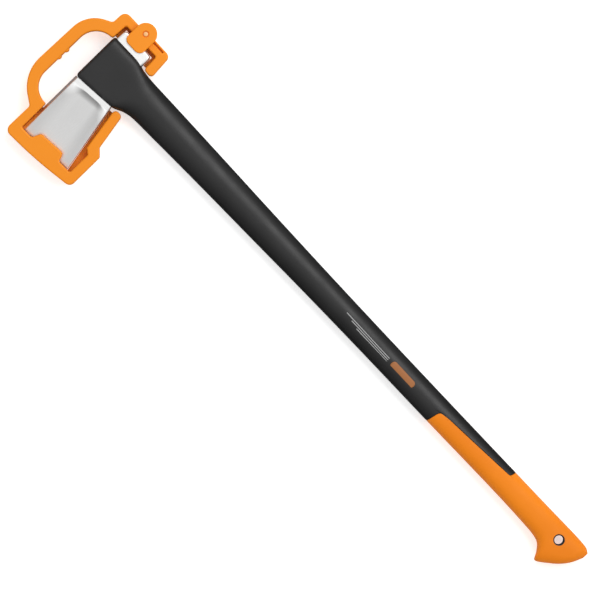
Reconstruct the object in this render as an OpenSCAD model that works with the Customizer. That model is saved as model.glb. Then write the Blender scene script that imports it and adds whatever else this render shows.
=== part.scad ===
// Long-handled wedge axe with a clip-on blade sheath.
// The axe lies on its side: +X runs from the head to the butt, +Y from the cutting edge to the poll.
// Inside the modules z = 0 is the mid-plane of the head, y = 0 is level with the back of the poll,
// and x = 0 is level with the toe side of the poll. placed() moves everything to the part's own frame.

/* [Axe] */
// Length from the poll's toe side to the butt
axe_len = 915; // [880:5:950]
// Half thickness of the handle's wrap around the head
wrap_half = 20; // [18:0.5:22]
// Half thickness of the poll block
poll_half = 15; // [12:0.5:17]
// Angle of the cutting edge to the handle
edge_angle = 5; // [3:0.5:6]

/* [Handle] */
// Wall of the hollow shaft
shaft_wall = 5; // [4:0.5:7]
// Thickness of the soft grip over the shaft
grip_t = 2.5; // [2:0.5:4]
// Diameter of the hang hole
hang_d = 12; // [8:0.5:14]

/* [Sheath] */
// Half thickness of the sheath frame
sheath_half = 12; // [10:0.5:13]
// Underside of the near lip above the mid-plane
lip_z = 6.5; // [6:0.5:8]
// Radius of the frame's ears round the latch pin
boss_r = 14; // [12:0.5:14.5]
// Radius of the latch plate over the ears
plate_r = 15; // [14:0.5:16]
// Diameter of the latch pin
pin_d = 6; // [4:0.5:8]

/* [Hidden] */
$fn = 64;
arc_steps = 8;
big = 400;

steel = [0.78, 0.78, 0.77];
black = [0.12, 0.12, 0.12];
orange = [0.95, 0.52, 0.12];

// Box of the whole object in the modules' frame
box_x = [-47, axe_len];
box_y = [-206.1, 28.5];

// Head
poll_y = -2;
poll_x = [3.4, 51.8];
wrap_y = -17.5;
toe_x = -0.3;
toe_lean = 1.75;
core_x = [8, 49];
core_y = [-91, wrap_y - 5];
core_half = 13;
edge_toe = [8.9, -197.4];
edge_heel = [86.5, -190.6];
shoulder_toe = [5.8, -89.8];
shoulder_heel = [63.8, -84];
face_half = 17.2;
band_w = 7.4;
head_len = 107.3;
hollow_w = 9;
crown_w = 3.8;

// Handle stations: x, poll-side edge, blade-side edge, half thickness, squareness of the section
stations = [
    [62, -21.6, -83.8, 20, 6],
    [71, -22.0, -81.5, 19.4, 5],
    [79, -22.2, -77.4, 18.4, 4],
    [92, -22.2, -74.2, 17, 3.2],
    [131, -22.2, -72.4, 15.6, 2.7],
    [209, -22.5, -69.5, 15, 2.6],
    [314, -23.1, -66.5, 14.6, 2.5],
    [418, -23.3, -63.5, 14.3, 2.5],
    [523, -22.9, -61.4, 14.2, 2.5],
    [640, -21.8, -59.9, 14.4, 2.6],
    [774, -20.2, -57.7, 14.8, 2.6],
    [836, -19.4, -58.1, 15, 2.7],
    [850, -19.1, -59.2, 15.1, 2.8],
    [860, -18.9, -62.6, 15.2, 2.8],
    [868, -18.7, -71.5, 15.2, 2.8],
    [873, -18.6, -79.6, 15.2, 2.8],
    [878, -18.5, -78.4, 15.1, 2.8],
    [889, -18.4, -69.6, 14.8, 2.8],
    [900, -18.6, -59.2, 14, 2.8],
    [909, -19.6, -46.5, 12, 2.7],
    [axe_len, -23, -32, 6, 2.5]
];
ring_n = 24;
bare_x = [62, 66, 71, 75, 79, 85, 92, 104, 120, 145, 180, 230, 300, 400, 520, 600];
grip_full_x = 786;
grip_blend_n = 9;
cavity_end_x = 893;
rear_x = [810, 836, 850];
butt_x = [857, 862, 866, 870, 873, 876, 882, 889, 896, 903, 909, 913, axe_len];
hollow_x = [100, 131, 209, 314, 418, 523, 640, 774, 810, 836, 850];
spigot_x = [815, 836, 851];
cavity_x = [857, 862, 866, 870, 873, 876, 882];
plug_gap = 0.3;
hang_pos = [876, -38.7];
liner_wall = 1.5;

// Sheath and latch
pivot = [25.1, 13.5];
ear_gap = 6.3;
knuckle_half = 6;
turn_gap = 0.5;
pin_gap = 0.05;
plate_z = [poll_half + 0.6, poll_half + 4.4];
boss_plate_z = sheath_half + 0.4;
sink_r = 4.6;
sink_z = poll_half + 2.4;
pin_z = [-sheath_half, poll_half + 5];

// Frame outline: x, y, corner radius
frame_outline = [
    [pivot.x, 14.6, 0], [-15.7, 14.6, 9], [-15.7, -7.4, 5], [-47, -24.3, 42],
    [-47, -138.2, 53], [-9.4, -161.5, 5], [-8.8, -206.6, 9], [45, -203.9, 600],
    [103.6, -194.8, 8], [102, -140.2, 4], [92.4, -131.5, 4], [82.1, -81.6, 6],
    [69.4, -82.5, 5], [81.4, -143.5, 0], [89, -149.5, 2], [91, -192.2, 2],
    [3.7, -200, 3], [2.4, -143.7, 2.2], [-28.6, -143.7, 28], [-30.9, -26.1, 29],
    [-1.2, -21.8, 3], [-0.6, 2.2, 2.4], [pivot.x, 2.2, 0]
];
lip_outline = [
    [-2, -203, 0], [-2, -187.6, 0], [22.5, -187.6, 5], [27.5, -174.8, 5],
    [66, -171.2, 6], [69.5, -182.3, 5], [96, -181.8, 0], [96, -193.4, 0]
];
// Ledges low in the frame: one round the blade, one beside the poll
ledge_top = -8.5;
blade_ledge_outline = [
    [65.3, -88.5, 0], [87.2, -190.8, 2], [9, -198.4, 0], [4.2, -198.6, 0], [3.2, -150, 0], [2, -150, 0],
    [0, -203, 0], [93, -194.3, 0], [95, -145, 0], [78, -100, 0], [74, -88, 0]
];
poll_ledge_outline = [
    [-4, -17.1, 0], [2.9, -17.1, 0], [2.9, -1.5, 0], [22, -1.5, 0], [22, 6, 0], [-4, 6, 0]
];
bump_r = 4.4;
bump_x = -32.2;
bump_y = [-76, -89.5];
arm_outline = [
    [30, 16.9, 0], [67.6, 16.9, 9], [71.3, -20.6, 5], [57.6, -19.8, 3.5], [55.6, 3.2, 2.4], [30, 3.2, 0]
];
arm_ledge_outline = [
    [38, 8, 0], [38, -1.5, 0], [52.3, -1.5, 0], [52.3, -16.5, 0], [60, -16.5, 0], [60, 8, 0]
];
bridge_outline = [[36, 3.4, 0], [45, 3.4, 0], [45, 12, 0], [36, 12, 0]];
lobe_outline = [[10.1, 13.5, 0], [10.6, -12, 8], [40.6, -12, 9], [40.1, 13.5, 0]];
neck_outline = [[pivot.x, 12, 0], [44, 12, 0], [44, 3.4, 0], [pivot.x, 3.4, 0]];
groove_outline = [[30, 12.4, 0], [57.5, 12.4, 0], [57.5, 14.6, 0], [30, 14.6, 0]];
groove_floor = 3;
rib_outline = [[30, 13, 0], [57.5, 13, 0], [60.5, 20, 0], [30, 20, 0]];
rib_top = sheath_half - 2;
bridge_top = sheath_half + 3;

function unit(v) = v / norm(v);
function turn(a) = a > 180 ? a - 360 : a < -180 ? a + 360 : a;

// Points of the arc that rounds the corner b between a and c with radius r
function corner_arc(a, b, c, r) =
    let(
        u = unit(a - b),
        w = unit(c - b),
        half = acos(u * w) / 2,
        centre = b + unit(u + w) * r / sin(half),
        first = b + u * r / tan(half) - centre,
        last = b + w * r / tan(half) - centre,
        start = atan2(first.y, first.x),
        sweep = turn(atan2(last.y, last.x) - start)
    )
    [for (i = [0 : arc_steps])
        let(a = start + sweep * i / arc_steps)
        centre + r * [cos(a), sin(a)]];

function at(p, i) = let(q = p[(i + len(p)) % len(p)]) [q.x, q.y];
function rounded(p) =
    [for (i = [0 : len(p) - 1])
        each p[i].z > 0 ? corner_arc(at(p, i - 1), at(p, i), at(p, i + 1), p[i].z) : [at(p, i)]];

// Smooth curve through column k of the stations
function slope(i, k) =
    let(lo = max(i - 1, 0), hi = min(i + 1, len(stations) - 1))
    (stations[hi][k] - stations[lo][k]) / (stations[hi][0] - stations[lo][0]);
function span(x, i = 0) = i >= len(stations) - 2 || x < stations[i + 1][0] ? i : span(x, i + 1);
function along(x, k) =
    let(
        i = span(x),
        w = stations[i + 1][0] - stations[i][0],
        t = (x - stations[i][0]) / w,
        a = stations[i][k],
        b = stations[i + 1][k]
    )
    a * (1 + 2 * t) * (1 - t) * (1 - t) + b * t * t * (3 - 2 * t)
        + w * (slope(i, k) * t * (1 - t) * (1 - t) - slope(i + 1, k) * t * t * (1 - t));

// Point of the handle's section at x and angle a from the poll side, set inwards by inset
function signed_pow(v, p) = sign(v) * pow(abs(v), p);
function skin(x, a, inset = 0) =
    let(
        top = along(x, 1),
        bottom = along(x, 2),
        n = along(x, 4),
        half_y = (top - bottom) / 2 - inset,
        half_z = along(x, 3) - inset
    )
    [x, (top + bottom) / 2 + half_y * signed_pow(cos(a), 2 / n), half_z * signed_pow(sin(a), 2 / n)];

// Where the grip's front edge lies round the section: a tongue of bare shaft runs back on the poll side
tongue_x = 774;
front_x = 643;
function smooth(t) = let(c = min(max(t, 0), 1)) c * c * (3 - 2 * c);
function grip_front(a) = front_x + (tongue_x - front_x) * smooth((cos(a) - 0.1) / 0.6);
function ring_angle(j) = 360 * j / ring_n;
function bare_ring(k, inset = 0) =
    [for (j = [0 : ring_n - 1])
        let(
            a = ring_angle(j),
            far = grip_front(a),
            x = bare_x[0] + (bare_x[k] - bare_x[0]) * (far - bare_x[0]) / (front_x - bare_x[0])
        )
        skin(x, a, inset)];
function blend_ring(k, inset) =
    [for (j = [0 : ring_n - 1])
        let(a = ring_angle(j), x = grip_front(a) + (grip_full_x - grip_front(a)) * k / grip_blend_n)
        skin(x, a, inset)];
function plain_ring(x, inset) = [for (j = [0 : ring_n - 1]) skin(x, ring_angle(j), inset)];
function reversed(list) = [for (i = [len(list) - 1 : -1 : 0]) list[i]];

// Closed solid through a list of rings, flat at both ends; ring k is joined to ring k + 1
module loft(rings) {
    n = len(rings[0]);
    last = len(rings) - 1;
    sides = [for (k = [0 : last - 1]) for (j = [0 : n - 1])
        let(a = k * n + j, b = k * n + (j + 1) % n) each [[a, a + n, b], [b, a + n, b + n]]];
    ends = [[for (j = [0 : n - 1]) j], [for (j = [n - 1 : -1 : 0]) last * n + j]];
    polyhedron(points = [for (ring = rings) each ring], faces = concat(sides, ends), convexity = 8);
}

module placed() {
    translate([-(box_x[0] + box_x[1]) / 2, -(box_y[0] + box_y[1]) / 2, wrap_half])
        children();
}

module slab(outline, z0, z1) {
    translate([0, 0, z0])
        linear_extrude(z1 - z0)
            polygon(rounded(outline));
}

module core() {
    translate([core_x[0], core_y[0], -core_half])
        cube([core_x[1] - core_x[0], core_y[1] - core_y[0], 2 * core_half]);
}

// Line on which the blade and the wrap meet
function shoulder_y(x) =
    let(line = shoulder_heel - shoulder_toe)
    shoulder_toe.y + line.y * (x - shoulder_toe.x) / line.x;

// Wedge of the blade as a prism along the cutting edge, with a hollow in front of the shoulder band
module wedge() {
    band_x = head_len - band_w;
    rise = [for (i = [0 : arc_steps])
        let(t = i / arc_steps) [band_x - hollow_w * (1 - t), face_half + (wrap_half - face_half) * t * t]];
    half = concat([[0, 0.4], [14, 3.4]], rise, [[head_len + 20, wrap_half]]);
    translate([edge_toe.x, edge_toe.y, 0])
        rotate([0, 0, edge_angle])
            rotate([90, 0, 90])
                translate([0, 0, -big / 2])
                    linear_extrude(big)
                        polygon(concat(half, [for (p = reversed(half)) [p.x, -p.y]]));
}

// Space behind the two planes that fall away from the ridge along the blade's toe side
module toe_crown() {
    lean = atan((edge_toe.x - shoulder_toe.x) / (shoulder_toe.y - edge_toe.y));
    side = 1.25 * [crown_w, wrap_half];
    translate([edge_toe.x - crown_w, edge_toe.y, 0])
        rotate([90, 0, lean])
            slab([[0, 0, 0], [side.x, side.y, 0], [big, side.y, 0],
                [big, -side.y, 0], [side.x, -side.y, 0]], -big, big);
}

module poll() {
    root_y = wrap_y - 10;
    intersection() {
        slab([[poll_x[0], poll_y, 5], [poll_x[1], poll_y, 5],
            [poll_x[1], root_y, 0], [poll_x[0], root_y, 0]], -poll_half, poll_half);
        rotate([90, 0, 90])
            slab([[poll_y, -poll_half, 4], [poll_y, poll_half, 4],
                [root_y, poll_half, 0], [root_y, -poll_half, 0]], -big, big);
    }
}

module axe_head() {
    ridge_x = shoulder_toe.x - crown_w + 0.3;
    color(steel)
        placed() {
            union() {
                intersection() {
                    wedge();
                    toe_crown();
                    slab([[edge_toe.x - crown_w + 0.3, edge_toe.y, 2], [edge_heel.x, edge_heel.y, 2],
                        [shoulder_heel.x, shoulder_heel.y, 0], [ridge_x, shoulder_y(ridge_x), 0]], -big, big);
                }
                core();
                poll();
            }
        }
}

// Block that is moulded round the head, open at the poll and at the blade
module wrap_block() {
    toe_end_x = toe_x + (wrap_y - shoulder_toe.y) * tan(toe_lean);
    difference() {
        intersection() {
            slab([[toe_x, wrap_y, 4], [50, wrap_y, 4], [54.5, -20.9, 4], [66, -21.8, 0],
                [66, shoulder_y(66), 0], [toe_end_x, shoulder_y(toe_end_x), 1]], -wrap_half, wrap_half);
            rotate([90, 0, 90])
                slab([[wrap_y, wrap_half, 9], [wrap_y, -wrap_half, 9],
                    [-120, -wrap_half, 0], [-120, wrap_half, 0]], -big, big);
            translate([toe_x, wrap_y, 0])
                rotate([90, 0, toe_lean])
                    slab([[0, -wrap_half, 9], [0, wrap_half, 9], [100, wrap_half, 0], [100, -wrap_half, 0]],
                        -big, big);
        }
        core();
        poll();
    }
}

// Outside of the shaft, bare as far as the grip and then set in under it, and back along the hollow
function shaft_rings() = concat(
    [for (k = [0 : len(bare_x) - 1]) bare_ring(k)],
    [blend_ring(0, 0)],
    [for (k = [0 : grip_blend_n]) blend_ring(k, grip_t)],
    [for (x = rear_x) plain_ring(x, grip_t)],
    [for (x = reversed(hollow_x)) plain_ring(x, grip_t + shaft_wall)]
);

// Inside of the grip from its closed end to its front edge, and back along the outside to the butt
function grip_rings() = concat(
    [for (x = reversed(concat(rear_x, cavity_x, [cavity_end_x]))) plain_ring(x, grip_t)],
    [for (k = [grip_blend_n : -1 : 0]) blend_ring(k, grip_t)],
    [for (k = [0 : grip_blend_n]) blend_ring(k, 0)],
    [for (x = concat(rear_x, butt_x)) plain_ring(x, 0)]
);

// Spigot inside the shaft, then the block that fills the grip's closed end
function plug_rings() = concat(
    [for (x = spigot_x) plain_ring(x, grip_t + shaft_wall + plug_gap)],
    [for (x = concat([spigot_x[2]], cavity_x, [cavity_end_x - 1])) plain_ring(x, grip_t + plug_gap)]
);

module handle_shaft() {
    color(black)
        placed() {
            wrap_block();
            loft(shaft_rings());
        }
}

module grip_sleeve() {
    color(orange)
        placed() {
            difference() {
                loft(grip_rings());
                hang_hole(hang_d / 2 + liner_wall);
            }
        }
}

module hang_hole(r) {
    translate([hang_pos.x, hang_pos.y, -big / 2])
        cylinder(r = r, h = big);
}

module handle_end_plug() {
    color(black)
        placed() {
            difference() {
                loft(plug_rings());
                hang_hole(hang_d / 2 + liner_wall);
            }
        }
}

module hang_hole_liner() {
    liner_half = 15;
    color(black)
        placed() {
            translate([hang_pos.x, hang_pos.y, -liner_half])
                difference() {
                    cylinder(r = hang_d / 2 + liner_wall, h = 2 * liner_half);
                    translate([0, 0, -1])
                        cylinder(d = hang_d, h = 2 * liner_half + 2);
                }
        }
}

module at_pivot(z = 0) {
    translate([pivot.x, pivot.y, z])
        children();
}

module sheath_frame() {
    color(orange)
        placed() {
            difference() {
                union() {
                    slab(frame_outline, -sheath_half, sheath_half);
                    slab(lip_outline, lip_z, sheath_half);
                    slab(blade_ledge_outline, -sheath_half, ledge_top);
                    slab(poll_ledge_outline, -sheath_half, ledge_top);
                    at_pivot(-sheath_half)
                        cylinder(r = boss_r, h = 2 * sheath_half);
                    for (y = bump_y)
                        translate([bump_x, y, -sheath_half])
                            cylinder(r = bump_r, h = 2 * sheath_half);
                }
                at_pivot(-ear_gap)
                    cylinder(r = boss_r + turn_gap, h = 2 * ear_gap);
                at_pivot(-big / 2)
                    cylinder(d = pin_d, h = big);
            }
        }
}

module latch_pivot_pin() {
    color(steel)
        placed() {
            at_pivot(pin_z[0])
                cylinder(d = pin_d, h = pin_z[1] - pin_z[0]);
        }
}

// Arm and hook: a ledge towards the poll, a groove and a rib on the outside, and a bridge up to the plate
module latch_arm() {
    difference() {
        union() {
            slab(arm_outline, -sheath_half, sheath_half);
            slab(arm_ledge_outline, -sheath_half, ledge_top);
            slab(bridge_outline, 0, bridge_top);
        }
        slab(groove_outline, groove_floor, big);
        slab(rib_outline, rib_top, big);
        at_pivot(-big / 2)
            cylinder(r = boss_r + turn_gap, h = big / 2 + boss_plate_z);
    }
}

module sheath_latch() {
    color(orange)
        placed() {
            difference() {
                union() {
                    latch_arm();
                    slab(neck_outline, -knuckle_half, knuckle_half);
                    at_pivot(-knuckle_half)
                        cylinder(r = boss_r - turn_gap, h = 2 * knuckle_half);
                    at_pivot(boss_plate_z)
                        cylinder(r = plate_r, h = plate_z[1] - boss_plate_z);
                    slab(lobe_outline, plate_z[0], plate_z[1]);
                }
                at_pivot(-big / 2)
                    cylinder(d = pin_d + 2 * pin_gap, h = big);
                at_pivot(sink_z)
                    cylinder(r = sink_r, h = big);
            }
        }
}

axe_head();
handle_shaft();
grip_sleeve();
handle_end_plug();
hang_hole_liner();
sheath_frame();
latch_pivot_pin();
sheath_latch();
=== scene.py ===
"""Wedge axe in its clip-on blade sheath, lying on its side: the visible model, its materials and its studio.

Lengths are written in millimetres in the axe's own frame and turned into metres by place():
x runs along the handle from the head's toe side to the butt, y from the cutting edge towards the poll,
whose back is at POLL_Y, and z up from the head's mid-plane.
"""
import math

import bmesh
import bpy
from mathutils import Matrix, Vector


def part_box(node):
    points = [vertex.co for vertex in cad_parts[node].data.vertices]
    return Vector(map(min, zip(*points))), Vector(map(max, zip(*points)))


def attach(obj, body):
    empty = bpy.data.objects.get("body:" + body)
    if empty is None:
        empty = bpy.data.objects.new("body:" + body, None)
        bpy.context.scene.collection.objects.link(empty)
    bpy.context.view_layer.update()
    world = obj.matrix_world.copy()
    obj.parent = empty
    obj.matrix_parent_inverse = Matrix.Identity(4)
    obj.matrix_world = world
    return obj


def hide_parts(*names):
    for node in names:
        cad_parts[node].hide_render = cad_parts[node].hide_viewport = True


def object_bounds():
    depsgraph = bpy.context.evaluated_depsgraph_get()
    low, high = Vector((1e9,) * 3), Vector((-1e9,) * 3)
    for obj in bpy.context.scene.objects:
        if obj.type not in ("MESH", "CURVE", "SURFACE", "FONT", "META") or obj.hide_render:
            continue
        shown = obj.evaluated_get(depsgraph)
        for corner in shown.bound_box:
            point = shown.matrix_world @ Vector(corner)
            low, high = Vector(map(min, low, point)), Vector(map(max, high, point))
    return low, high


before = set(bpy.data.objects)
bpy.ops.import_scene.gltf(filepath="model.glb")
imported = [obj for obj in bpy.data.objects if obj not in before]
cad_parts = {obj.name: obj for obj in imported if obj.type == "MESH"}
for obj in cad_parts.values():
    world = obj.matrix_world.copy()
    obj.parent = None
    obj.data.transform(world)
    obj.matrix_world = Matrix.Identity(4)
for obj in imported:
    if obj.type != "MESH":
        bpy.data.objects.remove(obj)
CAD_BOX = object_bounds()

MM = 0.001
HEAD_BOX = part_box("axe_head")
SHEATH_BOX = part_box("sheath_frame")
LATCH_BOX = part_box("sheath_latch")
POLL_Y = -2.0                      # back face of the poll
ARCH_X = -47.0                     # outermost side of the carry handle
ORIGIN = Vector((
    SHEATH_BOX[0][0] - ARCH_X * MM,
    HEAD_BOX[1][1] - POLL_Y * MM,
    (HEAD_BOX[0][2] + HEAD_BOX[1][2]) / 2,
))
WRAP_HALF = (HEAD_BOX[1][2] - HEAD_BOX[0][2]) / 2 / MM
SHEATH_HALF = (SHEATH_BOX[1][2] - SHEATH_BOX[0][2]) / 2 / MM
PLATE_TOP = (LATCH_BOX[1][2] - ORIGIN.z) / MM
AXE_LEN = (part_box("grip_sleeve")[1][0] - ORIGIN.x) / MM


def place(x, y, z):
    """A point of the axe's own frame, in metres in the model's frame."""
    return ORIGIN + Vector((x, y, z)) * MM


# ---------------------------------------------------------------- materials

class Nodes:
    """A small helper that builds one material's node tree."""

    def __init__(self, name):
        self.material = bpy.data.materials.new(name)
        self.material.use_nodes = True
        self.tree = self.material.node_tree
        self.shader = self.tree.nodes["Principled BSDF"]

    def add(self, kind, **inputs):
        node = self.tree.nodes.new(kind)
        for key, value in inputs.items():
            socket = node.inputs[key.replace("_", " ")]
            if isinstance(value, bpy.types.NodeSocket):
                self.tree.links.new(value, socket)
            else:
                socket.default_value = value
        return node

    def set(self, name, value):
        socket = self.shader.inputs[name]
        if isinstance(value, bpy.types.NodeSocket):
            self.tree.links.new(value, socket)
        else:
            socket.default_value = value

    def position(self, scale=(1, 1, 1)):
        """The point in the model's frame, in metres, stretched by scale."""
        coords = self.tree.nodes.new("ShaderNodeTexCoord")
        mapping = self.add("ShaderNodeMapping", Vector=coords.outputs["Object"])
        mapping.inputs["Scale"].default_value = scale
        return mapping.outputs["Vector"]

    def noise(self, scale, detail=3.0, stretch=(1, 1, 1), roughness=0.5):
        node = self.add("ShaderNodeTexNoise", Vector=self.position(stretch), Scale=scale, Detail=detail)
        node.inputs["Roughness"].default_value = roughness
        return node.outputs["Fac"]

    def ramp(self, fac, low, high, a, b):
        """a at fac=low to b at fac=high; a and b are colours or numbers."""
        node = self.add("ShaderNodeValToRGB", Fac=fac)
        colours = [c if isinstance(c, (tuple, list)) else (c, c, c) for c in (a, b)]
        for element, at, colour in zip(node.color_ramp.elements, (low, high), colours):
            element.position = at
            element.color = (*colour[:3], 1)
        return node.outputs["Color"]

    def mix(self, fac, a, b):
        node = self.tree.nodes.new("ShaderNodeMix")
        node.data_type = "RGBA"
        for socket, value in zip((node.inputs[0], node.inputs[6], node.inputs[7]), (fac, a, b)):
            if isinstance(value, bpy.types.NodeSocket):
                self.tree.links.new(value, socket)
            else:
                socket.default_value = value if isinstance(value, float) else (*value[:3], 1)
        return node.outputs[2]

    def bump(self, height, strength, distance, normal=None):
        node = self.add("ShaderNodeBump", Height=height, Strength=strength, Distance=distance)
        if normal is not None:
            self.tree.links.new(normal, node.inputs["Normal"])
        return node.outputs["Normal"]


def moulded_plastic(name, base, dark, light, rough, grain, specular=0.4, grain_scale=1400):
    """Moulded plastic: slow colour drift, a fine spark-eroded grain and slightly uneven gloss."""
    n = Nodes(name)
    drift = n.noise(9, 2)
    fine = n.noise(grain_scale, 2)
    mottle = n.noise(60, 4)
    colour = n.mix(n.ramp(drift, 0.35, 0.65, 0.0, 1.0), dark, light)
    colour = n.mix(n.ramp(mottle, 0.4, 0.7, 0.0, 0.35), colour, base)
    n.set("Base Color", colour)
    n.set("Roughness", n.ramp(n.noise(35, 4), 0.3, 0.7, rough - 0.05, rough + 0.06))
    n.set("Specular IOR Level", specular)
    waves = n.bump(n.noise(55, 2), 0.25, 0.0004)
    n.set("Normal", n.bump(fine, grain, 0.00012, waves))
    return n.material


def ground_steel(name, stretch, line_scale, base, rough):
    """Ground steel: fine lines along one way, cloudy satin patches and painted shade in the hollow under the
    shoulder band.
    """
    n = Nodes(name)
    lines = n.noise(line_scale, 3, stretch, 0.6)
    clouds = n.noise(22, 4)
    colour = n.mix(n.ramp(clouds, 0.3, 0.75, 0.0, 1.0), tuple(c * 0.95 for c in base), base)
    colour = n.mix(n.ramp(lines, 0.35, 0.65, 0.0, 0.5), colour, tuple(c * 0.9 for c in base))
    # painted shade: the base colour is pulled towards grey where the blade's mesh marks the hollow under the
    # shoulder band
    painted_hollow_shade = n.add("ShaderNodeAttribute")
    painted_hollow_shade.attribute_name = "painted_hollow_shade"
    colour = n.mix(painted_hollow_shade.outputs["Fac"], colour, (0.62, 0.62, 0.62))
    n.set("Base Color", colour)
    n.set("Metallic", 1.0)
    n.set("Roughness", n.ramp(lines, 0.3, 0.7, rough - 0.05, rough + 0.08))
    n.set("Normal", n.bump(lines, 0.18, 0.00008))
    return n.material


STEEL = ground_steel("blade_steel", (1, 0.04, 1), 900, (0.96, 0.96, 0.955), 0.36)
STEEL_EDGE = ground_steel("edge_steel", (0.05, 1, 1), 1100, (0.90, 0.90, 0.895), 0.30)
STEEL_POLL = ground_steel("poll_steel", (0.3, 1, 1), 600, (0.93, 0.93, 0.92), 0.30)
BLACK = moulded_plastic("black_composite", (0.009, 0.0088, 0.009), (0.007, 0.007, 0.0072),
                        (0.011, 0.0108, 0.0112), 0.40, 0.5, specular=0.4)
GRIP = moulded_plastic("soft_grip", (0.88, 0.235, 0.006), (0.85, 0.22, 0.005), (0.91, 0.25, 0.008),
                       0.55, 0.8, specular=0.2, grain_scale=900)
ORANGE = moulded_plastic("sheath_plastic", (0.92, 0.285, 0.008), (0.90, 0.27, 0.007), (0.95, 0.30, 0.011),
                         0.40, 0.45, specular=0.25)
PIN = moulded_plastic("pin_plastic", (0.93, 0.50, 0.20), (0.91, 0.47, 0.18), (0.95, 0.53, 0.23), 0.25, 0.2)
PRINT_GREY = moulded_plastic("print_grey", (0.42, 0.42, 0.42), (0.38, 0.38, 0.38), (0.46, 0.46, 0.46),
                             0.5, 0.3)
PRINT_ORANGE = moulded_plastic("print_orange", (0.36, 0.13, 0.035), (0.32, 0.11, 0.03), (0.40, 0.15, 0.04),
                               0.5, 0.3)


# ---------------------------------------------------------------- mesh helpers

def unit(x, y):
    length = math.hypot(x, y)
    return x / length, y / length


def corner_arc(a, b, c, radius, steps):
    """Points of the arc that rounds corner b between a and c."""
    ux, uy = unit(a[0] - b[0], a[1] - b[1])
    wx, wy = unit(c[0] - b[0], c[1] - b[1])
    half = math.acos(max(-1, min(1, ux * wx + uy * wy))) / 2
    mx, my = unit(ux + wx, uy + wy)
    reach = radius / math.sin(half)
    cx, cy = b[0] + mx * reach, b[1] + my * reach
    run = radius / math.tan(half)
    start = math.atan2(b[1] + uy * run - cy, b[0] + ux * run - cx)
    end = math.atan2(b[1] + wy * run - cy, b[0] + wx * run - cx)
    sweep = (end - start + math.pi) % (2 * math.pi) - math.pi
    angles = [start + sweep * i / steps for i in range(steps + 1)]
    return [(cx + radius * math.cos(a), cy + radius * math.sin(a)) for a in angles]


def rounded(corners):
    """Outline through (x, y, radius) corners, each rounded by its radius."""
    points = []
    for i, (x, y, radius) in enumerate(corners):
        if radius > 0:
            before, after = corners[i - 1], corners[(i + 1) % len(corners)]
            steps = max(5, min(22, int(radius * 0.9)))
            points += corner_arc(before, (x, y), after, radius, steps)
        else:
            points.append((x, y))
    return points


def arc_points(centre, radius, first, last, step=7):
    """(x, y, 0) corners along an arc, in degrees."""
    count = max(2, round(abs(last - first) / step))
    return [(centre[0] + radius * math.cos(math.radians(first + (last - first) * i / count)),
             centre[1] + radius * math.sin(math.radians(first + (last - first) * i / count)), 0)
            for i in range(count + 1)]


def mesh_piece(name, bm, material, body, replaces=(), smooth_angle=40):
    """A finished object from a bmesh: smooth shading, material and body; it hides the CAD parts it replaces.
    """
    bmesh.ops.recalc_face_normals(bm, faces=bm.faces)
    mesh = bpy.data.meshes.new(name)
    bm.to_mesh(mesh)
    bm.free()
    mesh.shade_smooth()
    mesh.set_sharp_from_angle(angle=math.radians(smooth_angle))
    piece = bpy.data.objects.new(name, mesh)
    bpy.context.scene.collection.objects.link(piece)
    materials = material if isinstance(material, (list, tuple)) else [material]
    for one in materials:
        mesh.materials.append(one)
    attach(piece, body)
    if replaces:
        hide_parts(*replaces)
    return piece


def add_slab(bm, corners, z0, z1, soft=(True, True)):
    """Adds a straight-sided slab; soft says whether its bottom and top edges are rounded later."""
    layers = bm.edges.layers.float
    weight = layers.get("bevel_weight_edge") or layers.new("bevel_weight_edge")
    outline = rounded(corners)
    low = [bm.verts.new(place(x, y, z0)) for x, y in outline]
    high = [bm.verts.new(place(x, y, z1)) for x, y in outline]
    count = len(outline)
    bm.faces.new(low)
    bm.faces.new(high)
    for i in range(count):
        after = (i + 1) % count
        bm.faces.new((low[i], low[after], high[after], high[i]))
    for ring, is_soft in ((low, soft[0]), (high, soft[1])):
        for i in range(count):
            edge = bm.edges.get((ring[i], ring[(i + 1) % count]))
            edge[weight] = 1.0 if is_soft else 0.0


def soften(piece, width, segments=3):
    """Rounds the weighted edges."""
    bevel = piece.modifiers.new("edges", "BEVEL")
    bevel.limit_method = "WEIGHT"
    bevel.width = width * MM
    bevel.segments = segments
    bevel.use_clamp_overlap = False
    bevel.harden_normals = False
    normals = piece.modifiers.new("normals", "WEIGHTED_NORMAL")
    normals.keep_sharp = True
    normals.weight = 60


def loft(bm, rings, close_first=True):
    """Skins closed rings of equal length and closes the last ring, and the first where asked."""
    rows = [[bm.verts.new(p) for p in ring] for ring in rings]
    count = len(rows[0])
    for a, b in zip(rows, rows[1:]):
        for j in range(count):
            bm.faces.new((a[j], a[(j + 1) % count], b[(j + 1) % count], b[j]))
    if close_first:
        bm.faces.new(rows[0])
    bm.faces.new(rows[-1])


def smooth(t):
    t = max(0.0, min(1.0, t))
    return t * t * (3 - 2 * t)


# ---------------------------------------------------------------- handle surface

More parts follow.
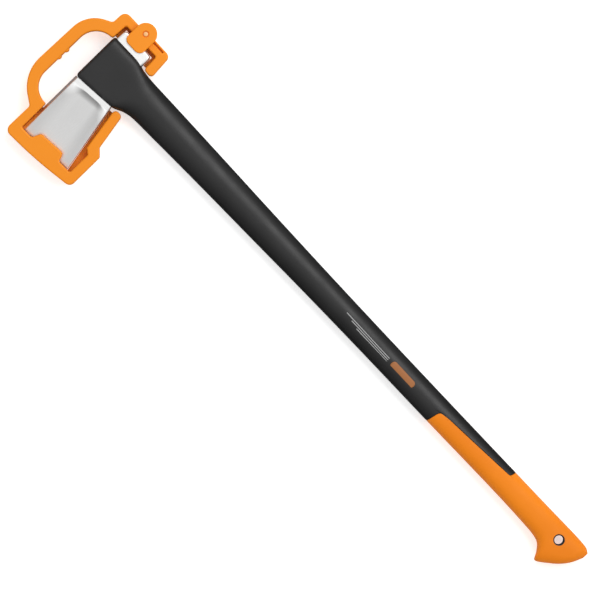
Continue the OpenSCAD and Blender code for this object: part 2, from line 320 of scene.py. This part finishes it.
# x, poll-side edge, blade-side edge, half thickness, squareness towards the poll and towards the blade
STATIONS = [
    (1, -17.5, -89.6, WRAP_HALF, 7, 40),
    (20, -17.5, -88.3, WRAP_HALF, 7, 40),
    (44, -17.5, -86.6, WRAP_HALF, 7, 40),
    (56, -20.4, -84.9, WRAP_HALF, 6.2, 24),
    (66, -21.7, -83.6, 19.8, 4.6, 8),
    (71, -22.0, -81.4, 19.3, 3.8, 5),
    (79, -22.2, -77.4, 18.4, 3.0, 3.6),
    (92, -22.2, -74.2, 17, 2.5, 2.9),
    (131, -22.2, -72.4, 15.6, 2.2, 2.5),
    (209, -22.5, -69.5, 15, 2.1, 2.4),
    (314, -23.1, -66.5, 14.6, 2.1, 2.3),
    (418, -23.3, -63.5, 14.3, 2.1, 2.3),
    (523, -22.9, -61.4, 14.2, 2.1, 2.3),
    (640, -21.8, -59.9, 14.4, 2.2, 2.4),
    (774, -20.2, -57.7, 14.8, 2.4, 2.4),
    (836, -19.4, -58.1, 15, 2.5, 2.5),
    (850, -19.1, -59.2, 15.1, 2.6, 2.6),
    (860, -18.9, -62.6, 15.2, 2.7, 2.7),
    (868, -18.7, -71.5, 15.2, 2.7, 2.7),
    (873, -18.6, -79.6, 15.2, 2.7, 2.7),
    (878, -18.5, -78.4, 15.1, 2.7, 2.7),
    (889, -18.4, -69.6, 14.8, 2.7, 2.7),
    (900, -18.6, -59.2, 14, 2.7, 2.7),
    (909, -19.6, -46.5, 12, 2.6, 2.6),
    (AXE_LEN, -23, -32, 6, 2.5, 2.5),
]


def slope(i, k):
    low, high = STATIONS[max(i - 1, 0)], STATIONS[min(i + 1, len(STATIONS) - 1)]
    return (high[k] - low[k]) / (high[0] - low[0])


def along(x, k):
    """Smooth curve through column k of the stations."""
    i = 0
    while i < len(STATIONS) - 2 and x >= STATIONS[i + 1][0]:
        i += 1
    a, b = STATIONS[i], STATIONS[i + 1]
    w = b[0] - a[0]
    t = (x - a[0]) / w
    return (a[k] * (1 + 2 * t) * (1 - t) ** 2 + b[k] * t * t * (3 - 2 * t)
            + w * (slope(i, k) * t * (1 - t) ** 2 - slope(i + 1, k) * t * t * (1 - t)))


def skin(x, angle, inset=0.0, inset_y=None):
    """(x, y, z) on the handle's surface; angle runs from the poll side over the upper side."""
    top, bottom = along(x, 1), along(x, 2)
    middle = (top + bottom) / 2
    c, s = math.cos(angle), math.sin(angle)
    n = along(x, 4) if c > 0 else along(x, 5)
    half_y = (top - bottom) / 2 - (inset if inset_y is None else inset_y)
    half_z = min(along(x, 3), WRAP_HALF) - inset
    radius = (abs(c / half_y) ** n + abs(s / half_z) ** n) ** (-1 / n)
    return x, middle + radius * c, radius * s


RING = 128


def ring_angle(j):
    return 2 * math.pi * j / RING


def lean(x, y):
    """The toe side of the wrap leans, so the first 24 mm of x are sheared to follow it."""
    toe = -1.3 - 0.0305 * (y + 17.5)
    return x + toe * max(0.0, 1 - (x - 1) / 24)


def plain_ring(x, inset=0.0, inset_y=None, shift=0.0):
    points = [skin(x, ring_angle(j), inset, inset_y) for j in range(RING)]
    return [place(lean(p[0] + shift, p[1]), p[1], p[2]) for p in points]


# Front edge of the grip seen from above: across the blade side, then back along the tongue of bare shaft
GRIP_FRONT = [(643.2, -66, 0), (648.5, -37.6, 9), (771.5, -28.8, 5), (775, -10, 0)]
# Where the sleeve has closed round the whole section
FULL_X = 790.0
# How far the shaft is set in under the sleeve
UNDER_GRIP = 2.7


def grip_edge():
    """(x, angle) points round the grip's front edge, evenly spread, for the angles of half a turn."""
    path = []
    for i, (x, y, radius) in enumerate(GRIP_FRONT):
        if radius:
            path += corner_arc(GRIP_FRONT[i - 1], (x, y), GRIP_FRONT[i + 1], radius, 8)
        else:
            path.append((x, y))
    samples = []
    for (x0, y0), (x1, y1) in zip(path, path[1:]):
        steps = max(1, int(math.hypot(x1 - x0, (y1 - y0)) / 0.4))
        samples += [(x0 + (x1 - x0) * i / steps, y0 + (y1 - y0) * i / steps) for i in range(steps)]
    samples.append(path[-1])
    on_skin = []
    for x, y in samples:
        top, bottom = along(x, 1), along(x, 2)
        reach = (y - (top + bottom) / 2) / ((top - bottom) / 2)
        if abs(reach) >= 1:
            continue
        n = along(x, 4)
        z = along(x, 3) * (1 - abs(reach) ** n) ** (1 / n)
        on_skin.append((x, math.atan2(z, y - (top + bottom) / 2)))
    on_skin.reverse()
    on_skin = [(GRIP_FRONT[-1][0] - 0.2, 0.0)] + on_skin + [(GRIP_FRONT[0][0] + 0.2, math.pi)]
    lengths = [0.0]
    for (xa, aa), (xb, ab) in zip(on_skin, on_skin[1:]):
        lengths.append(lengths[-1] + math.hypot((xb - xa) * 0.3, (ab - aa) * 18))
    half = []
    k = 0
    for j in range(RING // 2 + 1):
        want = lengths[-1] * j / (RING // 2)
        while k < len(lengths) - 2 and lengths[k + 1] < want:
            k += 1
        t = (want - lengths[k]) / (lengths[k + 1] - lengths[k])
        half.append(tuple(a + (b - a) * t for a, b in zip(on_skin[k], on_skin[k + 1])))
    return half + [(x, 2 * math.pi - a) for x, a in reversed(half[1:-1])]


EDGE = grip_edge()


def edge_ring(offset, inset):
    """The grip's front edge moved along the surface by offset (towards the butt) and in by inset."""
    points = []
    for j, (x, a) in enumerate(EDGE):
        xb, ab = EDGE[j - 1]
        xc, ac = EDGE[(j + 1) % RING]
        ab = ab - 2 * math.pi if ab - a > math.pi else ab
        ac = ac + 2 * math.pi if a - ac > math.pi else ac
        here = Vector(skin(x, a))
        around = Vector(skin(x, a + 0.01)) - here
        tangent_x, tangent_s = unit(xc - xb, (ac - ab) / 0.01 * around.length)
        # The edge runs with rising angle, so the way to the butt is to its right
        dx, ds = offset * tangent_s, -offset * tangent_x
        points.append(place(*skin(x + dx, a + ds * 0.01 / around.length, inset)))
    return points


def blend_to_edge(t, from_x):
    """Ring between a plain ring at from_x (t=0) and the grip's front edge (t=1)."""
    ring = []
    for j, (x, a) in enumerate(EDGE):
        plain = ring_angle(j)
        ring.append(place(*skin(from_x + (x - from_x) * t, plain + (a - plain) * smooth(t))))
    return ring


def make_handle():
    """Shaft with the block that wraps the head; the surface runs on under the grip."""
    bm = bmesh.new()
    rings = []
    round_x, round_y, round_z = 4.5, 5.0, 7.5
    for i in range(7):
        turn = math.pi / 2 * i / 6
        back = 1 - math.sin(turn)
        rings.append(plain_ring(1.01, round_z * back, round_y * back, shift=round_x * (1 - math.cos(turn))))
    xs = [7 + 3.5 * i for i in range(14)] + [54 + 1.6 * i for i in range(28)]
    xs += [100 + 6 * i for i in range(10)] + [165 + 19 * i for i in range(25)]
    rings += [plain_ring(x) for x in xs]
    start = 628.0
    rings += [blend_to_edge(i / 14, start) for i in range(14)]
    profile = ((-1.1, 0), (-0.5, 0.1), (-0.15, 0.4), (0.0, 1.0), (0.3, UNDER_GRIP))
    rings += [edge_ring(offset, inset) for offset, inset in profile]
    rings += [plain_ring(x, UNDER_GRIP) for x in (800, 848)]
    loft(bm, rings)
    return mesh_piece("shaft", bm, BLACK, "axe", ["handle_shaft"], 50)


HANG = (876.0, -38.7)
HANG_R = 6.0
LINER_R = 7.5


def make_grip():
    """Soft sleeve with the hooked butt, its front edge rounded over, drilled for the hang hole."""
    bm = bmesh.new()
    rollover = 2.4
    profile = ((0.6, 2.45), (0.25, 2.2), (0.2, 1.0), (0.4, 0.5), (0.8, 0.18), (1.5, 0.03), (rollover, 0))
    rings = [edge_ring(offset, inset) for offset, inset in profile]
    steps = 12
    for i in range(1, steps + 1):
        t = i / steps
        ring = []
        for j, (x, a) in enumerate(EDGE):
            start = x + rollover
            ring.append(place(*skin(start + (FULL_X - start) * t, a + (ring_angle(j) - a) * smooth(t))))
        rings.append(ring)
    xs = [796 + 7 * i for i in range(8)] + [850 + 1.5 * i for i in range(20)]
    xs += [881 + 2.5 * i for i in range(9)]
    xs += [904, 906, 908, 909.5, 911, 912.2, 913.2, 914, 914.6, AXE_LEN]
    rings += [plain_ring(x) for x in xs]
    loft(bm, rings, close_first=False)
    grip = mesh_piece("grip", bm, GRIP, "axe", ["grip_sleeve"], 60)
    bm = bmesh.new()
    lathe(bm, HANG, [(0.01, -30), (LINER_R, -30), (LINER_R, 30), (0.01, 30)], 64)
    cut(grip, bm)
    return grip


def bake_modifiers(piece):
    """Applies the piece's modifiers to its mesh."""
    graph = bpy.context.evaluated_depsgraph_get()
    mesh = bpy.data.meshes.new_from_object(piece.evaluated_get(graph))
    piece.modifiers.clear()
    piece.data = mesh


def cut(piece, bm):
    """Takes the solid in bm out of the piece."""
    bmesh.ops.recalc_face_normals(bm, faces=bm.faces)
    mesh = bpy.data.meshes.new("cutter")
    bm.to_mesh(mesh)
    bm.free()
    cutter = bpy.data.objects.new("cutter", mesh)
    bpy.context.scene.collection.objects.link(cutter)
    difference = piece.modifiers.new("cut", "BOOLEAN")
    difference.operation = "DIFFERENCE"
    difference.solver = "EXACT"
    difference.object = cutter
    bake_modifiers(piece)
    bpy.data.objects.remove(cutter)


def lathe(bm, centre, profile, segments=96, closed=False):
    """Turns (radius, z) points round a vertical line; closed joins the last point to the first."""
    turns = [2 * math.pi * j / segments for j in range(segments)]
    rings = [[place(centre[0] + radius * math.cos(a), centre[1] + radius * math.sin(a), z) for a in turns]
             for radius, z in profile]
    if not closed:
        loft(bm, rings)
        return
    rows = [[bm.verts.new(p) for p in ring] for ring in rings]
    rows.append(rows[0])
    for a, b in zip(rows, rows[1:]):
        for j in range(segments):
            bm.faces.new((a[j], a[(j + 1) % segments], b[(j + 1) % segments], b[j]))


def make_liner():
    """Black eyelet through the butt, with rounded lips."""
    bm = bmesh.new()
    half, lip, facet = 15.0, 0.9, 0.27
    upper = [(LINER_R + 0.1, half), (HANG_R + lip, half),
             (HANG_R + facet, half - facet), (HANG_R, half - lip)]
    lower = [(radius, -z) for radius, z in reversed(upper)]
    lathe(bm, HANG, lower + upper, closed=True)
    return mesh_piece("hang_hole_lining", bm, BLACK, "axe", ["hang_hole_liner"], 60)


# ---------------------------------------------------------------- head

EDGE_TOE, EDGE_HEEL = (8.9, -197.4), (86.5, -190.6)
SHOULDER_TOE, SHOULDER_HEEL = (5.8, -89.8), (63.8, -84.0)
BLADE_LEN = 107.3                  # from the edge to the shoulder
BEVEL_LEN, BEVEL_HALF = 12.0, 2.9  # length of the ground bevel, and half thickness where it ends
EDGE_HALF = 0.12                   # half thickness at the cutting edge
BAND = 7.4                         # width of the shoulder band
STEP = 1.9                         # drop from the band into the hollow
BAND_DROP = 2.5                    # how far the band comes down at the toe and the heel
HOLLOW_LEN = 11.0                  # reach of the hollow towards the edge, at the toe
END_EASE = 18.0                    # length over which the face starts to fall at the toe and the heel
TOE_CROWN = 3.8                    # how far the toe side's ridge stands out from the upper and lower faces


def hollow_share(s):
    """How much of the step under the band there is: all in the middle, none at toe and heel."""
    return smooth((s - 0.06) / 0.3) * smooth((0.96 - s) / 0.24)


def band_start(s):
    """Distance from the edge at which the band begins; it comes down round the ends of the hollow."""
    return BLADE_LEN - BAND - BAND_DROP * (1 - hollow_share(s))


def hollow(s, d):
    """From 1 at the band to 0 where the hollow in front of it runs out into the face."""
    t = (band_start(s) - d) / (HOLLOW_LEN - 4 * s)
    return (1 - t) ** 2 if 0 <= t < 1 else 0.0


def eased(distance, length):
    """A straight fall that starts gently over the given length."""
    return distance ** 2 / (2 * length) if distance < length else distance - length / 2


def blade_half(s, d):
    """Half thickness of the blade at s from toe (0) to heel (1) and d mm from the edge."""
    start = band_start(s)
    if d >= start:
        return WRAP_HALF
    if d <= BEVEL_LEN:
        t = d / BEVEL_LEN
        return EDGE_HALF + (BEVEL_HALF - EDGE_HALF) * t * (1.25 - 0.25 * t)
    step = STEP * hollow_share(s)
    gentle = END_EASE * (1 - hollow_share(s)) + 0.5
    fall = (WRAP_HALF - step - BEVEL_HALF) * eased(start - d, gentle) / eased(start - BEVEL_LEN, gentle)
    return WRAP_HALF - step * (1 - hollow(s, d)) - fall


def blade_point(s, t):
    """(x, y) in the blade's outline at s from toe to heel and t from the edge to the shoulder."""
    toe = [a + (b - a) * t for a, b in zip(EDGE_TOE, SHOULDER_TOE)]
    heel = [a + (b - a) * t for a, b in zip(EDGE_HEEL, SHOULDER_HEEL)]
    bulge = -1.7 * 4 * s * (1 - s) * (1 - t) ** 3
    x, y = (a + (b - a) * s for a, b in zip(toe, heel))
    return x, y + bulge


def make_blade():
    """Blade with its ground bevel, the hollow under the shoulder band with painted shade in it, and the
    ridged toe side.
    """
    bm = bmesh.new()
    # painted shade: per-vertex share of grey for the steel, full at the foot of the band and fading out down
    # the hollow
    shade = bm.verts.layers.float.new("painted_hollow_shade")
    columns = [0, 0.012, 0.03] + [0.05 + 0.9 * i / 56 for i in range(57)] + [0.97, 0.988, 1]
    depths = [0, 0.4, 1, 2, 4, 6, 8, 10, 11.5, 13] + [16 + 6 * i for i in range(9)]
    depths += [BLADE_LEN - BAND - 34 + 0.85 * i for i in range(40)]
    depths += [BLADE_LEN - BAND, BLADE_LEN - BAND + 0.4, BLADE_LEN - 3, BLADE_LEN - 0.5, BLADE_LEN]
    sides = []
    for sign in (1, -1):
        rows = []
        for d in depths:
            row = []
            for s in columns:
                x, y = blade_point(s, d / BLADE_LEN)
                z = blade_half(s, d)
                if d > BLADE_LEN - 0.4:
                    z -= 0.5
                row.append(bm.verts.new(place(x, y, sign * z)))
                row[-1][shade] = hollow(s, d) * hollow_share(s)
            rows.append(row)
        sides.append(rows)
        for r, (a, b) in enumerate(zip(rows, rows[1:])):
            for i in range(len(columns) - 1):
                face = bm.faces.new((a[i], a[i + 1], b[i + 1], b[i]))
                face.material_index = 1 if depths[r + 1] <= 13 or depths[r] >= BLADE_LEN - BAND else 0
    up, down = sides
    last = len(columns) - 1
    crown = []
    for d in depths:
        x, y = blade_point(0, d / BLADE_LEN)
        crown.append(bm.verts.new(place(x - TOE_CROWN, y, 0)))
    for r in range(len(depths) - 1):
        for i in (0, last):
            if i == last:
                bm.faces.new((up[r][i], up[r + 1][i], down[r + 1][i], down[r][i]))
                continue
            bm.faces.new((up[r][i], up[r + 1][i], crown[r + 1], crown[r]))
            bm.faces.new((down[r][i], down[r + 1][i], crown[r + 1], crown[r]))
    for r in (0, -1):
        bm.faces.new((up[r][0], down[r][0], crown[r]))
        for i in range(last):
            bm.faces.new((up[r][i], up[r][i + 1], down[r][i + 1], down[r][i]))
    weight = bm.edges.layers.float.new("bevel_weight_edge")
    for rows in sides:
        for a, b in zip(rows, rows[1:]):
            for i in (0, last):
                bm.edges.get((a[i], b[i]))[weight] = 1.0
    blade = mesh_piece("blade", bm, [STEEL, STEEL_EDGE], "axe", ["axe_head"], 38)
    soften(blade, 0.9, 3)
    return blade


def make_poll():
    """Striking block behind the wrap, its corners and edges rounded."""
    bm = bmesh.new()
    half = 15.0
    outline = [(3.4, POLL_Y, 5), (51.8, POLL_Y, 5), (51.8, -30, 0), (3.4, -30, 0)]
    add_slab(bm, outline, -half, half)
    poll = mesh_piece("poll", bm, STEEL_POLL, "axe", (), 40)
    soften(poll, 2.6, 5)
    return poll


# ---------------------------------------------------------------- sheath

PIVOT = (25.1, 13.5)
EAR_R = 14.0                       # the frame's ears round the pin
PLATE_R = 14.98                    # the latch's plate over the ears
PIN_R = 3.0
SINK_R, SINK_DEPTH = 4.6, 2.0      # recess in the plate round the pin's head
EAR = 6.4                          # the gap between the ears reaches this far above and below the mid-plane

OUTER = [(-15.7, 14.6, 9), (-15.7, -7.4, 5), (-47, -24.3, 42), (-47, -138.2, 53), (-9.4, -161.5, 5),
         (-8.8, -206.6, 9), (45, -203.9, 600), (103.6, -194.8, 8), (102.0, -140.2, 4), (92.4, -131.5, 4),
         (82.1, -81.6, 6), (69.4, -82.5, 5)]
ARCH_INNER = [(-28.6, -143.7, 28), (-30.9, -26.1, 29), (-1.2, -21.8, 3), (-0.6, 2.2, 2.4)]
SLOT_INNER = [(81.4, -143.5, 0), (89, -149.5, 2), (91, -192.2, 2), (3.7, -200, 3), (2.4, -143.7, 2.2)]
LIP_INNER = [(81.4, -143.5, 0), (89.2, -149.5, 2), (90, -182.0, 2.5), (69.5, -182.6, 4), (66, -171.2, 6),
             (27.5, -174.8, 5), (22.5, -187.6, 5), (3.9, -187.8, 2), (2.4, -143.7, 2.2)]
# Ledges at the level of the lower ear: one round the blade, one beside the poll
BLADE_LEDGE = [(65.1, -88.5, 0), (86.9, -190.8, 2), (9, -198.4, 0), (5.0, -198.6, 0), (3.6, -150, 0),
               (2, -150, 0), (0, -203, 0), (93, -194.3, 0), (95, -145, 0), (78, -100, 0), (72, -88, 0)]
POLL_LEDGE = [(-4, -17.1, 0), (3.1, -17.1, 0), (3.1, -1.6, 0), (14, -1.6, 0), (14, 6, 0), (-4, 6, 0)]
LEDGE_TOP = -9.6


def boss_corners(cleared):
    """The outline's end round the pivot: a full ear, or cut back to clear the latch's knuckle."""
    if cleared:
        return arc_points(PIVOT, EAR_R + 0.5, 233, 176)
    return arc_points(PIVOT, EAR_R, -126, 175)


def make_sheath():
    """Frame in three layers, its ledges, and two finger bumps inside the carry handle."""
    bm = bmesh.new()
    add_slab(bm, OUTER + SLOT_INNER + ARCH_INNER + boss_corners(False), -SHEATH_HALF, -EAR, (True, False))
    add_slab(bm, OUTER + SLOT_INNER + ARCH_INNER + boss_corners(True), -EAR, EAR, (False, False))
    add_slab(bm, OUTER + LIP_INNER + ARCH_INNER + boss_corners(False), EAR, SHEATH_HALF, (False, True))
    sheath = mesh_piece("sheath", bm, ORANGE, "sheath", ["sheath_frame"], 40)
    soften(sheath, 2.0, 4)
    bm = bmesh.new()
    for ledge in (BLADE_LEDGE, POLL_LEDGE):
        add_slab(bm, ledge, -SHEATH_HALF + 0.2, LEDGE_TOP)
    ledges = mesh_piece("sheath_ledges", bm, ORANGE, "sheath", (), 40)
    soften(ledges, 0.3, 2)
    bm = bmesh.new()
    for y in (-76, -89.5):
        add_slab(bm, arc_points((-32.2, y), 4.4, 0, 345, 15), -SHEATH_HALF + 2.5, SHEATH_HALF - 1.5)
    bumps = mesh_piece("finger_bumps", bm, ORANGE, "sheath", (), 40)
    soften(bumps, 1.2, 3)
    return sheath


def make_latch():
    """Hinged latch: knuckle and plate on the pin, and an arm with a rib, a groove and a hook."""
    bm = bmesh.new()
    arm = [(36, 12.4, 0), (57.6, 12.4, 0), (59, 16.9, 0), (67.6, 16.9, 7.2), (71.3, -20.6, 5),
           (57.6, -19.8, 3.5), (55.6, 3.2, 2.4), (36, 3.2, 0)]
    add_slab(bm, arm, -SHEATH_HALF, SHEATH_HALF)
    latch = mesh_piece("latch_arm", bm, ORANGE, "latch", ["sheath_latch"], 40)
    soften(latch, 1.8, 4)
    bm = bmesh.new()
    ledge = [(38, 3.2, 0), (38, -1.5, 0), (52.1, -1.5, 0), (52.1, -16.5, 0), (58, -16.5, 0), (58, 3.2, 0)]
    add_slab(bm, ledge, -SHEATH_HALF + 2, -SHEATH_HALF + 4.5)
    mesh_piece("latch_ledge", bm, ORANGE, "latch", (), 40)
    bm = bmesh.new()
    groove_floor = [(36, 10, 0), (62, 10, 0), (62, 16.5, 0), (36, 16.5, 0)]
    rail = [(36, 14.6, 0), (62, 14.6, 0), (62, 16.9, 0), (36, 16.9, 0)]
    add_slab(bm, groove_floor, -SHEATH_HALF + 1, SHEATH_HALF - 8)
    add_slab(bm, rail, -SHEATH_HALF + 1, SHEATH_HALF - 2)
    rib = mesh_piece("latch_rib", bm, ORANGE, "latch", (), 40)
    soften(rib, 0.7, 3)
    bm = bmesh.new()
    plate = arc_points(PIVOT, PLATE_R, 0, 182) + [(10.6, -12, 8), (40.6, -12, 9)]
    add_slab(bm, plate, SHEATH_HALF + 0.4, PLATE_TOP)
    plate = mesh_piece("latch_plate", bm, ORANGE, "latch", (), 40)
    soften(plate, 1.4, 4)
    bm = bmesh.new()
    sink = PLATE_TOP - SINK_DEPTH
    lathe(bm, PIVOT, [(0.01, sink), (SINK_R, sink), (SINK_R, 30), (0.01, 30)])
    cut(plate, bm)
    bm = bmesh.new()
    hole = PIN_R + 0.05
    lathe(bm, PIVOT, [(hole, 12.4), (13.2, 12.4), (13.6, 12.8), (13.6, 16), (hole, 16)], closed=True)
    lathe(bm, PIVOT, [(hole, -6), (13.0, -6), (13.5, -5.5), (13.5, 5.5), (13.0, 6), (hole, 6)], closed=True)
    mesh_piece("latch_knuckle", bm, ORANGE, "latch", (), 40)
    bm = bmesh.new()
    add_slab(bm, [(30, 3.6, 0), (40, 3.6, 0), (40, 11.4, 0), (30, 11.4, 0)], -6, 6)
    mesh_piece("latch_neck", bm, ORANGE, "latch", (), 40)
    return latch


def make_pin():
    """Pale pin that holds the latch, its head domed."""
    bm = bmesh.new()
    bottom, top = -12.0, 20.0
    lathe(bm, PIVOT, [(0.01, bottom), (PIN_R - 0.4, bottom), (PIN_R, bottom + 0.4), (PIN_R, top - 0.9),
                      (PIN_R - 0.2, top - 0.4), (PIN_R - 0.7, top - 0.1), (1.2, top), (0.01, top)])
    return mesh_piece("latch_pin", bm, PIN, "sheath", ["latch_pivot_pin"], 50)


# ---------------------------------------------------------------- printed marks

def surface_patch(name, outline, material, proud=0.08):
    """A thin printed patch that follows the shaft's upper side."""
    bm = bmesh.new()
    x0, x1 = min(p[0] for p in outline), max(p[0] for p in outline)
    flat = [bm.verts.new((x, y, 0)) for x, y in rounded(outline)]
    bm.faces.new(flat)
    for i in range(1, int(x1 - x0) // 2):
        everything = bm.verts[:] + bm.edges[:] + bm.faces[:]
        bmesh.ops.bisect_plane(bm, geom=everything, plane_co=(x0 + 2 * i, 0, 0), plane_no=(1, 0, 0))
    y0, y1 = min(v.co.y for v in bm.verts), max(v.co.y for v in bm.verts)
    for i in range(1, int((y1 - y0) / 0.8)):
        everything = bm.verts[:] + bm.edges[:] + bm.faces[:]
        bmesh.ops.bisect_plane(bm, geom=everything, plane_co=(0, y0 + 0.8 * i, 0), plane_no=(0, 1, 0))
    for vert in bm.verts:
        x, y = vert.co.x, vert.co.y
        top, bottom = along(x, 1), along(x, 2)
        reach = (y - (top + bottom) / 2) / ((top - bottom) / 2)
        z = along(x, 3) * (1 - abs(reach) ** along(x, 4)) ** (1 / along(x, 4))
        vert.co = place(x, y, z + proud)
    patch = mesh_piece(name, bm, material, "axe", (), 60)
    thick = patch.modifiers.new("thickness", "SOLIDIFY")
    thick.thickness = 0.15 * MM
    thick.offset = -1
    return patch


def make_marks():
    """Plain stripes and a plain badge where the shaft carries its printing."""
    middle = -43.0
    last, half, pitch = 552, 0.6, 2.6
    for i, first in enumerate((470, 482, 494)):
        y = middle + pitch * (1 - i)
        low, high = y - half, y + half
        outline = [(first, low, 0.5), (last, low, 0.5), (last, high, 0.5), (first, high, 0.5)]
        surface_patch(f"print_stripe_{i + 1}", outline, PRINT_GREY)
    badge = [(558, -47.5, 4.5), (600, -47.5, 4.5), (600, -37, 4.5), (558, -37, 4.5)]
    surface_patch("print_badge", badge, PRINT_ORANGE)


# ---------------------------------------------------------------- build

make_handle()
make_grip()
make_liner()
make_blade()
make_poll()
make_sheath()
make_latch()
make_pin()
make_marks()
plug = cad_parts["handle_end_plug"]
plug.data.materials.clear()
plug.data.materials.append(BLACK)


# ---------------------------------------------------------------- studio

def make_floor():
    """Pale floor just under the model, left out of glossy reflections."""
    n = Nodes("floor")
    shade = n.noise(3, 2)
    n.set("Base Color", n.ramp(shade, 0.3, 0.7, (0.80, 0.80, 0.80), (0.82, 0.82, 0.82)))
    n.set("Roughness", 0.9)
    n.set("Specular IOR Level", 0.1)
    n.set("Emission Color", (1, 1, 1, 1))
    n.set("Emission Strength", 0.55)
    bm = bmesh.new()
    size = 6.0
    level = CAD_BOX[0][2] - 0.0005
    corners = ((-size, -size), (size, -size), (size, size), (-size, size))
    bm.faces.new([bm.verts.new((x, y, level)) for x, y in corners])
    mesh = bpy.data.meshes.new("floor")
    bm.to_mesh(mesh)
    bm.free()
    mesh.materials.append(n.material)
    floor = bpy.data.objects.new("floor", mesh)
    bpy.context.scene.collection.objects.link(floor)
    floor.visible_glossy = False


# Brightness of the surround against the direction's y (-1 towards the blade's side, 1 towards the poll's),
# and its fall towards the horizon against the direction's z
SKY = [(-1.0, 0.34), (-0.62, 0.40), (-0.42, 0.64), (-0.28, 0.81), (-0.08, 0.93), (0.25, 0.95), (1.0, 0.62)]
FALL = [(-1.0, 0.2), (0.0, 0.25), (0.35, 1.0), (1.0, 1.0)]


def level_ramp(tree, value, levels):
    """Grey levels against a value between -1 and 1."""
    spread = tree.nodes.new("ShaderNodeMapRange")
    spread.inputs["From Min"].default_value = -1
    tree.links.new(value, spread.inputs["Value"])
    ramp = tree.nodes.new("ShaderNodeValToRGB")
    tree.links.new(spread.outputs["Result"], ramp.inputs["Fac"])
    stops = ramp.color_ramp.elements
    for at, _ in levels[1:-1]:
        stops.new((at + 1) / 2)
    for stop, (at, level) in zip(stops, levels):
        stop.position = (at + 1) / 2
        stop.color = (level, level, level, 1)
    return ramp.outputs["Color"]


def make_world():
    """Pale surround, brightest overhead, greyer towards the blade's side and dim at the horizon."""
    world = bpy.data.worlds.new("studio")
    bpy.context.scene.world = world
    world.use_nodes = True
    tree = world.node_tree
    coords = tree.nodes.new("ShaderNodeTexCoord")
    split = tree.nodes.new("ShaderNodeSeparateXYZ")
    tree.links.new(coords.outputs["Generated"], split.inputs[0])
    both = tree.nodes.new("ShaderNodeMix")
    both.data_type = "RGBA"
    both.blend_type = "MULTIPLY"
    both.inputs[0].default_value = 1.0
    tree.links.new(level_ramp(tree, split.outputs["Y"], SKY), both.inputs[6])
    tree.links.new(level_ramp(tree, split.outputs["Z"], FALL), both.inputs[7])
    tree.links.new(both.outputs[2], tree.nodes["Background"].inputs["Color"])
    tree.nodes["Background"].inputs["Strength"].default_value = 0.9


def softbox(name, tilt, distance, size, power):
    """A rectangular soft light tilted from overhead towards +y, aimed at the frame's origin."""
    light = bpy.data.lights.new(name, "AREA")
    light.shape = "RECTANGLE"
    light.size, light.size_y = size
    light.energy = power
    lamp = bpy.data.objects.new(name, light)
    way = Vector((0, math.tan(math.radians(tilt)), 1)).normalized()
    lamp.location = way * distance
    lamp.rotation_euler = way.to_track_quat("Z", "Y").to_euler()
    bpy.context.scene.collection.objects.link(lamp)


def make_camera():
    """Straight down on the lying axe, turned so that the handle runs from upper left to lower right."""
    turn = math.radians(47.25)
    distance = 10.0
    view_height = 0.804
    aim = place(423.6, -80.9, 0)
    data = bpy.data.cameras.new("camera")
    data.sensor_fit = "VERTICAL"
    data.sensor_height = 24
    data.lens = 24 * distance / view_height
    data.clip_start = 0.05
    data.clip_end = 50
    camera = bpy.data.objects.new("camera", data)
    camera.location = aim + Vector((0, 0, distance))
    camera.rotation_euler = (0, 0, turn)
    bpy.context.scene.collection.objects.link(camera)
    bpy.context.scene.camera = camera


make_floor()
make_world()
softbox("key_strip", 28, 2.2, (2.2, 0.9), 22)
make_camera()
bpy.context.scene.view_settings.view_transform = "Standard"
bpy.context.scene.view_settings.look = "None"
